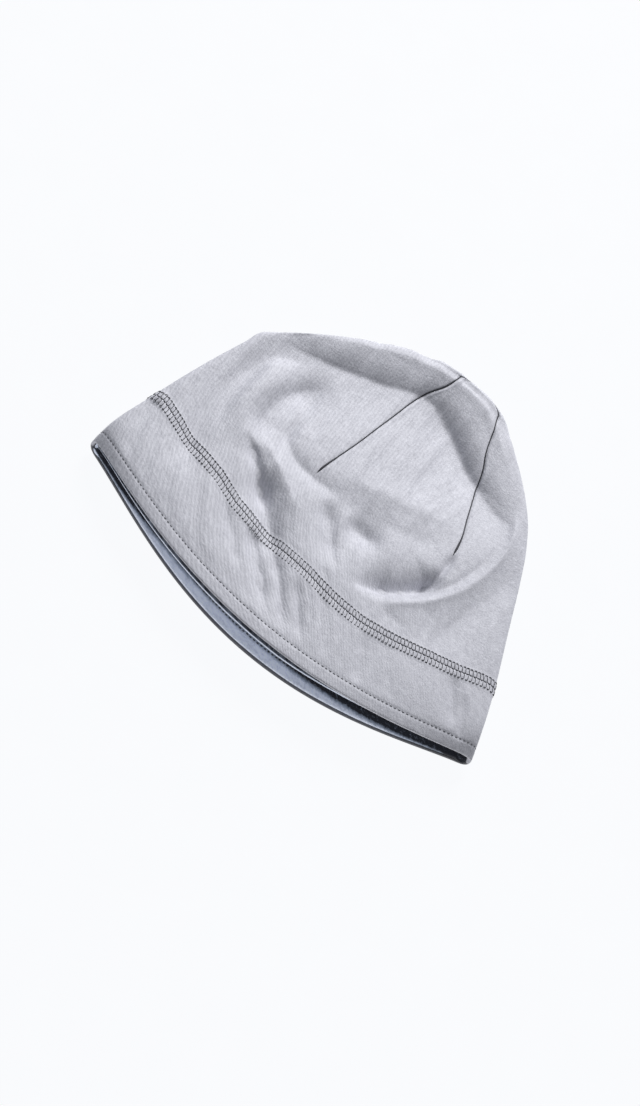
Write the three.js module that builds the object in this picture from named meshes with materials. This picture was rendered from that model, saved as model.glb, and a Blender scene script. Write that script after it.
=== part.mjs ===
import * as THREE from 'three';

// A thin knitted beanie lying on its back on a table, slightly puffed out.
// Millimetres, +Z up. The opening faces -Y, the crown lies toward +Y and the table is z = 0.
// X = 0 and Y = 0 are the middle of the width and of the length.

// Cloth
const CROWN_WALL = 1.2;
const BAND_WALL = 1.2;
const LINING_WALL = 1.1;
const CLEARANCE = 0.3; // air between two pieces of cloth that are sewn together
const EDGE_ROUND = 0.45; // rounding of every folded edge

// Distances along the cloth, from the lower edge
const SEAM = 37.5; // where the lower panel meets the crown
const LINING_EDGE = 0.8; // the lining's fold sits this far inside the outer fold
const LINING_TOP = 37; // the lining ends under the seam
const LAST_RING = 196.5; // the smallest ring before the tip
const TIP = 199; // where the four darts meet

// The tables below count y from a line near the corners of the opening
const ALONG = 58.8; // from that line to the middle of the length

// Turns rows of plain values into rows with named columns
function table(columns, rows) {
  return rows.map((row) => Object.fromEntries(columns.map((column, i) => [column, row[i]])));
}

// Rings of the outer face from the lower edge to the tip.
// at: distance along the cloth. lx, ly and rx, ry: left and right side fold. fz: height of the folds.
// ty, tz: where the top wall crosses the middle. uy, uz: the same for the under wall.
// puff: how fast the top wall rises from the folds, less is faster.
// bow: how the top wall's rings bow toward the opening between the folds, more is later.
const TRACKS = ['lx', 'ly', 'rx', 'ry', 'fz', 'ty', 'tz', 'uy', 'uz', 'puff', 'bow'];
const SECTIONS = table(['name', 'at', ...TRACKS], [
  ['edge', 0, -117.5, -6.6, 117.6, -6.8, 5, -34.4, 19.6, -36.5, 0, 0.62, 2.05],
  ['hem', 7.5, -116.8, -0.9, 114.6, -1.3, 10, -26.3, 20.1, -28.5, 0, 0.38, 2.15],
  ['seam', SEAM, -110.2, 28.2, 104.6, 25.2, 16.2, 5.4, 20.7, 1, 0, 0.22, 2.6],
  ['low', 66, -103.4, 55.9, 93.2, 53.4, 17, 34.6, 21.7, 29.5, 0, 0.22, 2.6],
  ['darts', 100, -95.2, 83.5, 81.6, 82, 18, 68.8, 22.6, 63, 0, 0.22, 2.6],
  ['side', 115, -91.9, 94, 76.1, 94.2, 18.5, 85.8, 22.8, 78, 0, 0.22, 2.6],
  ['turn', 122, -87.9, 98, 73.1, 99.6, 18.5, 93.8, 23, 85.5, 0, 0.22, 2.6],
  ['upper', 141, -73.2, 111.9, 65.9, 110.4, 18.5, 115, 23.4, 104, 0, 0.19, 2.5],
  ['crest', 160, -54.1, 127.1, 52.6, 124.6, 18, 134.4, 23.9, 123, 0, 0.2, 2.5],
  ['end', 176, -31.8, 140.8, 36.4, 138, 17.3, 145.1, 24.6, 137, 0, 0.22, 2.5],
  ['round', 189, -11, 149.2, 23.4, 147.8, 15.8, 150.1, 23.2, 147.2, 1, 0.3, 2.5],
  ['tip', TIP, 7, 153.8, 7, 153.8, 10, 154.1, 11, 153.4, 9, 0.72, 2.5],
]);

// The under wall
const UNDER_BOW = 2.5; // how its rings bow toward the opening
const UNDER_LEAN = 0.04; // share by which it hangs lower at the right
const FOLD_REACH = 1.25; // width of the rounding under a side fold, in heights of the fold

// Soft folds of the top wall, each along a smooth line through its points.
// left and right: width on either hand of the line's travel.
// rise: above zero for a ridge, below it for a valley.
// fade: share of the line's length over which each end dies away.
// blunt: 0.5 for a crease, 2 for a round fold.
const FOLDS = table(['name', 'points', 'left', 'right', 'rise', 'fade', 'blunt'], [
  ['crest valley',
    [[-84, 95], [-68, 102], [-48, 110], [-29, 117], [-11, 125], [4, 123], [20, 114], [36, 106], [70, 101]],
    10, 44, -6.9, 0.2, 1.6],
  ['crest right', [[-8, 125], [10, 121], [24, 113], [38, 106], [62, 102]], 8, 18, -1.6, 0.3, 1],
  ['smile', [[-53, 66], [-48, 54], [-32, 48], [-8, 50], [14, 56], [34, 63], [52, 72]], 9, 8, -1.6, 0.2, 1],
  ['smile ridge', [[-28, 58], [-10, 63], [10, 70], [30, 77], [44, 82]], 9, 7, 1.1, 0.35, 1],
  ['wedge', [[-65, 44], [-53, 36], [-41, 27], [-29, 17], [-15, 8]], 6, 9, -6.8, 0.35, 0.5],
  ['wedge crest', [[-58, 49], [-46, 43], [-32, 35], [-18, 25]], 5, 5, 1.1, 0.3, 0.5],
  ['flank ridge', [[-62, 34], [-72, 53], [-73, 70], [-64, 92]], 12, 7, 1.6, 0.3, 1],
  ['flank valley', [[-54, 42], [-62, 56], [-62, 72], [-56, 85], [-44, 97]], 9, 24, -4.2, 0.3, 1],
  ['rib outer', [[-64, 99], [-79, 88], [-86, 70], [-87, 46], [-82, 24], [-74, 2]], 8, 12, -2, 0.25, 1],
  ['crescent', [[50, 74], [52, 62], [50, 50], [44, 39], [34, 29], [18, 18]], 6, 9, -6.4, 0.3, 0.8],
  ['long arc', [[58, 112], [67, 92], [67, 70], [61, 50], [50, 34], [36, 19]], 5, 3, 1.2, 0.15, 0.5],
  ['outer arc', [[82, 98], [78, 70], [72, 44], [67, 14]], 12, 8, -2, 0.25, 1],
  ['dimple', [[-1, 46], [7, 46], [15, 46], [24, 48]], 6, 8, -3.8, 0.45, 1],
  ['diagonal', [[-18, 48], [-9, 38], [0, 29], [9, 20]], 8, 8, -2.4, 0.35, 1],
  ['panel near', [[-34, 8], [-24, -2], [-15, -10], [-4, -22]], 5, 5, -1.8, 0.25, 0.5],
  ['panel middle', [[-18, 6], [-8, -4], [0, -13], [10, -26]], 5, 5, -2.2, 0.25, 0.5],
  ['panel right', [[-3, 4], [5, -6], [12, -15], [19, -24]], 4, 5, -1.8, 0.3, 0.5],
]);
const FOLD_STEPS = 6; // straight pieces between two points of a fold line
const CALM_EDGE = 0.05; // folds start this far up from a side fold, as the sine of the ring angle
const CALM_END = 0.5; // and have their full height from here
const CALM_TIP = 29; // folds fade over this length before the tip

// Mesh density: divisions over the top wall, over the under wall and along the cloth
const TOP_DIVISIONS = 48;
const UNDER_DIVISIONS = 20;
const CROWN_STEPS = 25;
const BAND_STEPS = 5;
const BAND_MARGIN = 4; // first and last shared ring of the sleeves, from the ends of the panel

const clamp = (v, lo, hi) => Math.min(hi, Math.max(lo, v));

function smoothstep(from, to, v) {
  const t = clamp((v - from) / (to - from), 0, 1);
  return t * t * (3 - 2 * t);
}

// One smooth curve per column, through every row of the table
function slopeAt(row, track) {
  const before = SECTIONS[Math.max(row - 1, 0)];
  const here = SECTIONS[row];
  const after = SECTIONS[Math.min(row + 1, SECTIONS.length - 1)];
  const gapBefore = here.at - before.at;
  const gapAfter = after.at - here.at;
  if (gapBefore === 0) return (after[track] - here[track]) / gapAfter;
  if (gapAfter === 0) return (here[track] - before[track]) / gapBefore;
  const left = (here[track] - before[track]) / gapBefore;
  const right = (after[track] - here[track]) / gapAfter;
  return (left * gapAfter + right * gapBefore) / (gapBefore + gapAfter);
}

function section(at) {
  let row = 0;
  while (row < SECTIONS.length - 2 && at >= SECTIONS[row + 1].at) row += 1;
  const a = SECTIONS[row];
  const b = SECTIONS[row + 1];
  const gap = b.at - a.at;
  const t = (at - a.at) / gap;
  const result = {};
  for (const track of TRACKS) {
    const start = a[track] * (2 * t ** 3 - 3 * t ** 2 + 1);
    const leave = slopeAt(row, track) * gap * (t ** 3 - 2 * t ** 2 + t);
    const stop = b[track] * (3 * t ** 2 - 2 * t ** 3);
    const arrive = slopeAt(row + 1, track) * gap * (t ** 3 - t ** 2);
    result[track] = start + leave + stop + arrive;
  }
  result.uz = Math.max(result.uz, 0);
  return result;
}

// A fold line as short straight pieces
function foldLine(fold) {
  const points = fold.points.map(([x, y]) => new THREE.Vector3(x, y, 0));
  const curve = new THREE.CatmullRomCurve3(points, false, 'catmullrom', 0.5);
  return curve.getPoints(FOLD_STEPS * (points.length - 1));
}
const LINES = FOLDS.map(foldLine);

// Height that one fold adds at a point of the top wall
function foldHeight(fold, line, x, y) {
  let nearest = Infinity;
  let side = 0;
  let along = 0;
  for (let i = 0; i < line.length - 1; i += 1) {
    const ex = line[i + 1].x - line[i].x;
    const ey = line[i + 1].y - line[i].y;
    const length = Math.hypot(ex, ey);
    const u = clamp(((x - line[i].x) * ex + (y - line[i].y) * ey) / length ** 2, 0, 1);
    const dx = x - line[i].x - u * ex;
    const dy = y - line[i].y - u * ey;
    const distance = Math.hypot(dx, dy);
    if (distance < nearest) {
      nearest = distance;
      side = (dx * ey - dy * ex) / length;
      along = (i + u) / (line.length - 1);
    }
  }
  const strength = smoothstep(0, fold.fade, along) * smoothstep(1, 1 - fold.fade, along);
  const narrow = Math.min(fold.left, fold.right);
  const width = fold.left + (fold.right - fold.left) * smoothstep(-narrow / 2, narrow / 2, side);
  const far = nearest / width;
  return fold.rise * strength * Math.exp(fold.blunt - Math.hypot(fold.blunt, 2 * far));
}

// Outer face. angle 0 is the right side fold, 90 degrees the middle of the top wall.
function outerPoint(at, angle) {
  const s = section(at);
  const middle = (s.lx + s.rx) / 2;
  const half = (s.rx - s.lx) / 2;
  const level = (s.ly + s.ry) / 2;
  const across = Math.cos(angle);
  const up = Math.sin(angle);
  const rise = Math.abs(up);
  const x = middle + half * across;
  const edge = level + ((s.ry - s.ly) / 2) * across;
  if (up < 0) {
    const y = edge + (s.uy - level) * rise ** UNDER_BOW * (1 + UNDER_LEAN * across);
    const reach = Math.min((s.fz - s.uz) * FOLD_REACH, half);
    const u = clamp(1 - (half * (1 - Math.abs(across))) / reach, 0, 1);
    const z = s.uz + (s.fz - s.uz) * (1 - Math.sqrt(1 - u * u));
    return new THREE.Vector3(x, y - ALONG, z);
  }
  const y = edge + (s.ty - level) * rise ** s.bow;
  let z = s.fz + (s.tz - s.fz) * rise ** s.puff;
  const strength = smoothstep(CALM_EDGE, CALM_END, up) * smoothstep(TIP, TIP - CALM_TIP, at);
  for (let i = 0; i < FOLDS.length && strength > 0; i += 1) {
    z += strength * foldHeight(FOLDS[i], LINES[i], x, y);
  }
  return new THREE.Vector3(x, y - ALONG, z);
}

// Point of the cloth at a depth under the outer face
function clothPoint(at, angle, depth) {
  const point = outerPoint(at, angle);
  if (depth === 0) return point;
  const turn = 0.004;
  const step = 0.3;
  const low = Math.max(at - step, 0);
  const high = Math.min(at + step, TIP - step);
  const acrossCloth = outerPoint(at, angle + turn).sub(outerPoint(at, angle - turn));
  const alongCloth = outerPoint(high, angle).sub(outerPoint(low, angle));
  const outward = alongCloth.cross(acrossCloth).normalize();
  return point.addScaledVector(outward, -depth);
}

function angles() {
  const list = [];
  for (let i = 0; i < TOP_DIVISIONS; i += 1) list.push((Math.PI * i) / TOP_DIVISIONS);
  for (let i = 0; i < UNDER_DIVISIONS; i += 1) list.push(Math.PI + (Math.PI * i) / UNDER_DIVISIONS);
  return list;
}
const ANGLES = angles();

function ringOf(at, depth) {
  return { at, points: ANGLES.map((angle) => clothPoint(at, angle, depth)) };
}

// Joins rings into one closed skin. A ring of one point closes an end.
// The same diagonal is used on both faces of the cloth, so that neighbouring faces stay parallel.
function skin(rings, closed) {
  const positions = [];
  const starts = rings.map((ring) => {
    const start = positions.length / 3;
    for (const point of ring.points) positions.push(point.x, point.y, point.z);
    return start;
  });
  const faces = [];
  const last = closed ? rings.length : rings.length - 1;
  for (let i = 0; i < last; i += 1) {
    const j = (i + 1) % rings.length;
    const count = ANGLES.length;
    const fromPoint = rings[i].points.length === 1;
    const toPoint = rings[j].points.length === 1;
    for (let k = 0; k < count; k += 1) {
      const next = (k + 1) % count;
      const a = starts[i] + (fromPoint ? 0 : k);
      const b = starts[i] + (fromPoint ? 0 : next);
      const c = starts[j] + (toPoint ? 0 : next);
      const d = starts[j] + (toPoint ? 0 : k);
      if (fromPoint) {
        faces.push(a, d, c);
      } else if (toPoint) {
        faces.push(a, c, b);
      } else if (rings[j].at > rings[i].at) {
        faces.push(a, c, b, a, d, c);
      } else {
        faces.push(a, d, b, b, d, c);
      }
    }
  }
  const geometry = new THREE.BufferGeometry();
  geometry.setAttribute('position', new THREE.Float32BufferAttribute(positions, 3));
  geometry.setIndex(faces);
  geometry.computeVertexNormals();
  return geometry;
}

function steps(from, to, count) {
  return Array.from({ length: count + 1 }, (_, i) => from + ((to - from) * i) / count);
}

// A sleeve of cloth between two distances, folded round at its lower edge.
// Both sleeves share the rings between their ends, so that they follow each other closely.
function sleeve(from, to, top, wall) {
  const rows = [from + EDGE_ROUND, ...steps(BAND_MARGIN, SEAM - BAND_MARGIN, BAND_STEPS), to];
  const outside = rows.map((at) => ringOf(at, top));
  const inside = rows.map((at) => ringOf(at, top + wall)).reverse();
  return skin([ringOf(from, top + wall / 2), ...outside, ...inside], true);
}

// The crown is a cup: outer face from the seam to the tip, then back along the inner face
function crown() {
  const rows = steps(SEAM + CLEARANCE / 2, LAST_RING, CROWN_STEPS);
  const outerTip = outerPoint(TIP, Math.PI / 2);
  const innerTip = outerTip.clone().add(new THREE.Vector3(0, -CROWN_WALL, 0));
  const outside = rows.map((at) => ringOf(at, 0));
  const inside = rows.map((at) => ringOf(at, CROWN_WALL)).reverse();
  const start = { at: TIP, points: [innerTip] };
  const stop = { at: TIP, points: [outerTip] };
  return skin([start, ...inside, ...outside, stop], false);
}

const jersey = { color: 0xc9c9d2, roughness: 0.8, metalness: 0 };
const brushed = { color: 0xb4bac9, roughness: 0.9, metalness: 0 };

function piece(name, geometry, look) {
  const mesh = new THREE.Mesh(geometry, new THREE.MeshStandardMaterial(look));
  mesh.name = name;
  return mesh;
}

const band = sleeve(0, SEAM - CLEARANCE / 2, 0, BAND_WALL);
const lining = sleeve(LINING_EDGE, LINING_TOP, BAND_WALL + CLEARANCE, LINING_WALL);

const beanie = new THREE.Group();
beanie.add(piece('crown', crown(), jersey));
beanie.add(piece('band', band, jersey));
beanie.add(piece('lining', lining, brushed));

export default beanie;
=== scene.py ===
import math

import bpy
import numpy as np
from mathutils import Matrix, Vector


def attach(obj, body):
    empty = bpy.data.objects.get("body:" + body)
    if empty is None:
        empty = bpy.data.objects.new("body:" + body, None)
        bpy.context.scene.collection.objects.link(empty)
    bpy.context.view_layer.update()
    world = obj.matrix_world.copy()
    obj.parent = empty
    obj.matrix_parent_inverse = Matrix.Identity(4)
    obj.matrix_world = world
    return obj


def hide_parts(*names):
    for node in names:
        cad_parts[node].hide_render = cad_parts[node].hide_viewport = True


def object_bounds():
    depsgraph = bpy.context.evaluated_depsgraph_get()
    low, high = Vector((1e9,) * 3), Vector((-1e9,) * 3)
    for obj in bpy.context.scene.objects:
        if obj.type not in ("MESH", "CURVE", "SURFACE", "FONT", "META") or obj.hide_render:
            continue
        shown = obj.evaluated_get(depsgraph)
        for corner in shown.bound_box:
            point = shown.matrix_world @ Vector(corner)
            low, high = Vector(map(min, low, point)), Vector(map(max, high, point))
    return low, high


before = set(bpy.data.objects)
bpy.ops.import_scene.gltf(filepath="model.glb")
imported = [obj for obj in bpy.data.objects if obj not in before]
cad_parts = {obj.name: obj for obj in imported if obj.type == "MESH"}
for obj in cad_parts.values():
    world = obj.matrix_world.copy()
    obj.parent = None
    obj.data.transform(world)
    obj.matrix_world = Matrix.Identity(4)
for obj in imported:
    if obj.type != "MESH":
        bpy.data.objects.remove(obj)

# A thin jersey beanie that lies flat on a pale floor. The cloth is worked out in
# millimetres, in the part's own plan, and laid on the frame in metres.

CAD_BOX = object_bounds()
MM = 0.001

# The plan's y runs from the middle of the opening's side folds towards the tip.
# ALONG is how far from there the frame's origin lies, worked out from the CAD box.
PLAN_FAR_EDGE = 154.1
ALONG = PLAN_FAR_EDGE - CAD_BOX[1].y / MM

# Distances over the cloth from the opening's edge.
HEM_LINE = 6.2
SEAM = 37.5
TIP = 199.0

# Closed rings round the hat. at is the distance from the opening's edge. lx, ly and
# rx, ry are the plan points of the left and right folds, and fz is their height.
# ty, tz and uy, uz place the middle of the top and of the under wall. The top wall is
# squarer in section where puff is small, and its ring squarer in plan where bow is.
TRACKS = "lx ly rx ry fz ty tz uy uz puff bow".split()
SECTIONS = [
    # name, at, lx, ly, rx, ry, fz, ty, tz, uy, uz, puff, bow
    ("edge", 0, -117.5, -6.6, 117.6, -6.8, 5, -34.4, 19.6, -36.5, 0, 0.62, 2.05),
    ("hem", 7.5, -116.8, -0.9, 114.6, -1.3, 10, -26.3, 20.1, -28.5, 0, 0.38, 2.15),
    ("seam", SEAM, -110.2, 28.2, 104.6, 25.2, 16.2, 5.4, 20.7, 1, 0, 0.22, 2.6),
    ("low", 66, -103.4, 55.9, 93.2, 53.4, 17, 34.6, 21.7, 29.5, 0, 0.22, 2.6),
    ("darts", 100, -95.2, 83.5, 81.6, 82, 18, 68.8, 22.6, 63, 0, 0.22, 2.6),
    ("side", 115, -91.9, 94, 76.1, 94.2, 18.5, 85.8, 22.8, 78, 0, 0.22, 2.6),
    ("turn", 122, -87.9, 98, 73.1, 99.6, 18.5, 93.8, 23, 85.5, 0, 0.22, 2.6),
    ("upper", 141, -73.2, 111.9, 65.9, 110.4, 18.5, 115, 23.4, 104, 0, 0.19, 2.5),
    ("crest", 160, -54.1, 127.1, 52.6, 124.6, 18, 134.4, 23.9, 123, 0, 0.2, 2.5),
    ("end", 176, -31.8, 140.8, 36.4, 138, 17.3, 145.1, 24.6, 137, 0, 0.22, 2.5),
    ("round", 189, -11, 149.2, 23.4, 147.8, 15.8, 150.1, 23.2, 147.2, 1, 0.3, 2.5),
    ("tip", TIP, 7, 153.8, 7, 153.8, 10, 154.1, 11, 153.4, 9, 0.72, 2.5),
]
UNDER_BOW = 2.5
UNDER_LEAN = 0.04  # share by which the under wall hangs lower at the right
FOLD_REACH = 1.25  # how far the side fold reaches under the hat, in its own heights

# The top wall's folds fade out beside the side folds, by the sine of the ring's
# angle, and over the last millimetres before the tip.
CALM_SIDE = (0.05, 0.5)
CALM_TIP = 29.0

# Soft folds of the top wall, each along a smooth line through its plan points. left
# and right are the widths on either hand of the line's travel. rise is above zero for
# a ridge and below it for a valley. fade is the share of the line over which each end
# dies away. blunt is about 0.5 for a crease and 2 for a round fold.
FOLDS = [
    # name, left, right, rise, fade, blunt, line
    ("crest valley", 8.5, 44, -5.8, 0.2, 1.6,
     [(-84, 94), (-68, 100), (-48, 108), (-29, 116), (-11, 125),
      (4, 123), (20, 114), (36, 106), (70, 101)]),
    ("crest right", 7, 18, -2.4, 0.2, 0.8,
     [(-8, 125), (10, 121), (24, 113), (38, 105), (52, 100), (70, 97)]),
    ("crest", 5, 6, 0.9, 0.2, 0.5,
     [(-72, 113), (-50, 125), (-30, 136), (-6, 143), (14, 142), (32, 132), (56, 114)]),
    ("smile", 9, 9, -1.1, 0.2, 1,
     [(-53, 66), (-48, 56), (-34, 50), (-10, 50), (14, 55), (34, 62), (50, 70)]),
    ("smile hook", 5, 6, -1.4, 0.3, 0.7,
     [(-44, 78), (-49, 68), (-48, 58), (-38, 51), (-22, 50), (-8, 52)]),
    ("smile ridge", 9, 7, 1.1, 0.35, 1,
     [(-28, 58), (-10, 63), (10, 70), (30, 77), (44, 82)]),
    ("wedge", 3.5, 6, -3.6, 0.3, 0.7,
     [(-66, 45), (-57, 40), (-49, 34), (-41, 27), (-32, 19)]),
    ("wedge low", 8, 10, -5.2, 0.35, 0.9,
     [(-50, 37), (-41, 29), (-32, 20), (-22, 9), (-8, -6)]),
    ("wedge crest", 5, 5, 1.1, 0.3, 0.5,
     [(-58, 49), (-46, 43), (-32, 35), (-18, 25)]),
    ("flank ridge", 12, 7, 1.6, 0.3, 1,
     [(-62, 34), (-72, 53), (-73, 70), (-64, 92)]),
    ("flank valley", 8, 14, -4.6, 0.3, 1,
     [(-56, 42), (-63, 56), (-63, 72), (-57, 86), (-45, 98)]),
    ("rib outer", 6, 10, -2.6, 0.2, 1,
     [(-60, 102), (-78, 90), (-86, 70), (-87, 46), (-82, 24), (-74, 2)]),
    ("rib inner", 4, 5, -1.2, 0.3, 0.7,
     [(-80, 84), (-82, 68), (-81, 50), (-76, 32)]),
    ("dart tail", 2.5, 3.5, -2.4, 0.3, 0.5,
     [(49.5, 70), (50, 62), (50, 54), (48, 45), (42, 36)]),
    ("crescent", 4, 10, -6.6, 0.3, 0.6,
     [(52, 55), (49, 45), (42, 36), (32, 27), (16, 17)]),
    ("long arc", 4, 3, 1.4, 0.15, 0.5,
     [(58, 112), (67, 92), (67, 70), (61, 50), (50, 34), (34, 18)]),
    ("arc crease", 2.4, 2.4, -1.0, 0.3, 0.5,
     [(63, 90), (62, 70), (57, 52), (47, 38), (32, 23)]),
    ("outer arc", 12, 8, -2, 0.25, 1, [(82, 98), (78, 70), (72, 44), (67, 14)]),
    ("dimple", 8, 9, -4.6, 0.4, 1, [(-3, 44), (5, 44), (13, 44), (23, 46)]),
    ("diagonal", 6, 7, -3.0, 0.35, 0.8, [(-16, 46), (-8, 38), (0, 28), (8, 16)]),
    ("patch", 4, 4, -0.6, 0.4, 1, [(34, 22), (41, 19), (48, 18), (55, 20)]),
    ("pinch", 4, 4, -0.9, 0.4, 0.5, [(58, 40), (58, 32), (60, 24), (62, 14)]),
    ("panel left", 5, 5, -1.4, 0.3, 0.5, [(-52, 10), (-42, 1), (-34, -7), (-24, -18)]),
    ("panel near", 5, 5, -1.8, 0.25, 0.5, [(-34, 8), (-24, -2), (-15, -10), (-4, -22)]),
    ("panel middle", 5, 5, -2.2, 0.25, 0.5, [(-18, 6), (-8, -4), (0, -13), (10, -26)]),
    ("panel right", 4, 5, -1.8, 0.3, 0.5, [(-3, 4), (5, -6), (12, -15), (19, -24)]),
    ("panel far", 5, 5, -1.1, 0.3, 0.5, [(38, 4), (44, -6), (48, -14), (52, -22)]),
    ("panel side", 4, 4, -1.4, 0.3, 0.5, [(84, 18), (89, 10), (94, 3), (99, -6)]),
    ("panel last", 4, 4, -0.8, 0.3, 0.5, [(93, 14), (98, 6), (103, -2), (107, -8)]),
]
FOLD_STEPS = 6  # steps of the smooth line between two plan points
FOLD_RANGE = 3.0  # how many widths away a fold still lifts the cloth

# How far the seam strays from its ring, towards the tip, along x. The cloth strays
# with it on the top wall, where it fades out below and above the seam and at the
# side folds, there by the sine of the ring's angle.
SEAM_WAVE = [
    # x, offset
    (-112, 2.0), (-85, 1.0), (-61, 2.4), (-47, 0.8), (-19, 2.6), (0, 1.8),
    (20, -1.2), (33, -2.6), (52, -2.3), (67, -1.4), (84, -1.0), (103, 1.0),
]
WAVE_BELOW = (HEM_LINE + 2, SEAM - 4)
WAVE_ABOVE = (SEAM + 45, SEAM + 6)
WAVE_SIDE = (0.0, 0.35)

# Plan points of the two darts on the top wall, from the lower tip. The darts are
# numbered top right, top left, under left and under right, and DART_STARTS is where
# each begins, by distance from the edge. Past DART_HOLD they keep their angle.
DART_LEFT = [(-27, 54), (-26, 60), (-21, 83), (-17, 106), (-13, 126), (-6, 139), (-3, 153)]
DART_RIGHT = [
    (49, 59), (49, 64), (47, 77), (43, 89), (39, 102), (34, 115), (29, 125), (22, 146), (18, 152),
]
DART_STARTS = (92.0, 84.0, 84.0, 84.0)
TOP_LEFT = 1
DART_START, DART_HOLD = 84.0, 180.0
DART_DEPTH, DART_HALF = 0.55, 0.55
DART_SHOULDER, DART_SHOULDER_HALF = 0.35, 4.0
DART_LIP, DART_LIP_AWAY, DART_LIP_HALF = 0.25, 1.7, 0.9
DART_BEGIN, DART_END = (-2, 4), (TIP - 1, TIP - 12)

# Thickness of the cloth, and the air between its layers.
CROWN_WALL = 1.2
BAND_WALL = 1.2
HEM_WALL = 1.7
HEM_GAPE, HEM_GAPE_SIDE = 0.7, (0.0, 0.9)  # extra thickness of the top wall's hem at the right
LINING_WALL = 1.1
LINING_FOLD = 1.9
HEM_GAP = 0.4
LINING_GAP = 0.5
SEAM_GAP = 0.04

# The hem's double fold: its reach from the edge, the groove of its stitches, its swell
# below them and the rounding of its edge.
HEM_TOP, HEM_BOTTOM = 8.0, 1.0
HEM_GROOVE, HEM_GROOVE_HALF = 0.22, 0.6
HEM_PILLOW = 0.05
EDGE_ROUND = 0.62

# The lining's fold: where its stitches sink in, and how far it lies inside the hem's
# edge or peeps out of it. It peeps out at the top wall's left and middle.
LINING_STITCH_AT = 5.4
LINING_GROOVE = 0.3
LINING_TUCK = 0.75
LINING_PEEP, PEEP_RIGHT, PEEP_SIDE = 1.75, (0.55, 0.1), (0.0, 0.25)

# The seam's raised strip and its three lines of stitches, from the seam.
SEAM_LINES = {"upper": 3.0, "middle": 0.0, "lower": -2.9}
STRIP_RISE = 0.17
STRIP_LOW, STRIP_HIGH = (-4.6, -3.1), (4.6, 3.2)
STRIP_SINK, STRIP_SINK_HALF = 0.07, 0.5

THREAD = 0.16  # radius of the sewing thread
STITCH = 1.93  # from one stitch of the seam to the next
HEM_STITCH = 2.2
RIB_PITCH = 1.7 * MM  # from one rib of the knit to the next

# The camera looks at a point of the hat from the photo's angle. The photo is upright,
# so the sensor's size goes to its long side.
CAMERA_TARGET = (-1.0, 23.0 - ALONG, 15.0)
CAMERA_ELEVATION = 60.0
CAMERA_DISTANCE = 1243.0
CAMERA_LENS = 85.0
CAMERA_ROLL = 40.175
PHOTO_LONG_SIDE_SENSOR = 36.0

# Colours of the cloth and of the thread, each from its darkest to its lightest.
JERSEY_COLOURS = [(0.36, (0.45, 0.45, 0.5)), (0.64, (0.7, 0.7, 0.76))]
# The lining's ramp runs down to near black for the painted shade deep in the opening.
LINING_AND_SHADE_COLOURS = [(0.3, (0.02, 0.022, 0.03)), (0.5, (0.3, 0.345, 0.43)), (0.74, (0.76, 0.81, 0.94))]
THREAD_COLOURS = [(0.3, (0.018, 0.018, 0.024)), (0.7, (0.05, 0.05, 0.06))]
FLOOR_COLOURS = [(0.0, (0.02, 0.02, 0.02)), (1.0, (0.03, 0.03, 0.03))]
FLOOR_GLOW = (0.955, 0.965, 0.985, 1)
SKY_COLOUR = (0.82, 0.9, 1.0, 1)

LIGHTS = [
    # name, direction, distance, size, power, colour
    ("key", (-0.191, 0.765, 0.616), 1.6, 0.7, 31.5, (1, 1, 1)),
    ("fill", (0.5, -0.6, 0.6), 1.6, 1.2, 2.6, (1, 0.94, 0.86)),
]


# The cloth's surface


def smoothstep(low, high, value):
    """A smooth way from 0 at low to 1 at high."""
    t = np.clip((value - low) / (high - low), 0, 1)
    return t * t * (3 - 2 * t)


def bell(away, half):
    """1 in the middle, fading out over about twice the half width."""
    return np.exp(-((away / half) ** 2))


def section_slopes(keys, values):
    """How fast each measure changes at each section, from the steps on either side."""
    steps = np.diff(keys)
    rises = np.diff(values, axis=0) / steps[:, None]
    slopes = np.empty_like(values)
    slopes[0] = rises[0]
    slopes[-1] = rises[-1]
    before, after = steps[:-1, None], steps[1:, None]
    slopes[1:-1] = (rises[:-1] * after + rises[1:] * before) / (before + after)
    return slopes


KEYS = np.array([row[1] for row in SECTIONS], float)
VALUES = np.array([row[2:] for row in SECTIONS], float)
SLOPES = section_slopes(KEYS, VALUES)


def section(at):
    """The ring's measures at that distance from the edge, by name."""
    at = np.asarray(at, float)
    inside = np.clip(at, 0, TIP)
    k = np.clip(np.searchsorted(KEYS, inside, side="right") - 1, 0, len(KEYS) - 2)
    step = KEYS[k + 1] - KEYS[k]
    t = ((inside - KEYS[k]) / step)[..., None]
    step = step[..., None]
    start = VALUES[k] * (2 * t**3 - 3 * t**2 + 1) + SLOPES[k] * step * (t**3 - 2 * t**2 + t)
    end = VALUES[k + 1] * (3 * t**2 - 2 * t**3) + SLOPES[k + 1] * step * (t**3 - t**2)
    out = start + end + SLOPES[0] * np.minimum(at, 0)[..., None]
    made = {name: out[..., i] for i, name in enumerate(TRACKS)}
    made["uz"] = np.maximum(made["uz"], 0)
    return made


def smooth_line(points, steps):
    """Points along a Catmull-Rom line through the given ones."""
    p = np.asarray(points, float)
    p = np.vstack([2 * p[0] - p[1], p, 2 * p[-1] - p[-2]])
    along = np.linspace(0, len(points) - 1, steps + 1)
    k = np.minimum(along.astype(int), len(points) - 2)
    u = (along - k)[:, None]
    a, b, c, d = p[k], p[k + 1], p[k + 2], p[k + 3]
    return 0.5 * (
        2 * b + (c - a) * u + (2 * a - 5 * b + 4 * c - d) * u**2 + (3 * b - a - 3 * c + d) * u**3
    )


FOLD_LINES = [smooth_line(row[-1], FOLD_STEPS * (len(row[-1]) - 1)) for row in FOLDS]


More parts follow.
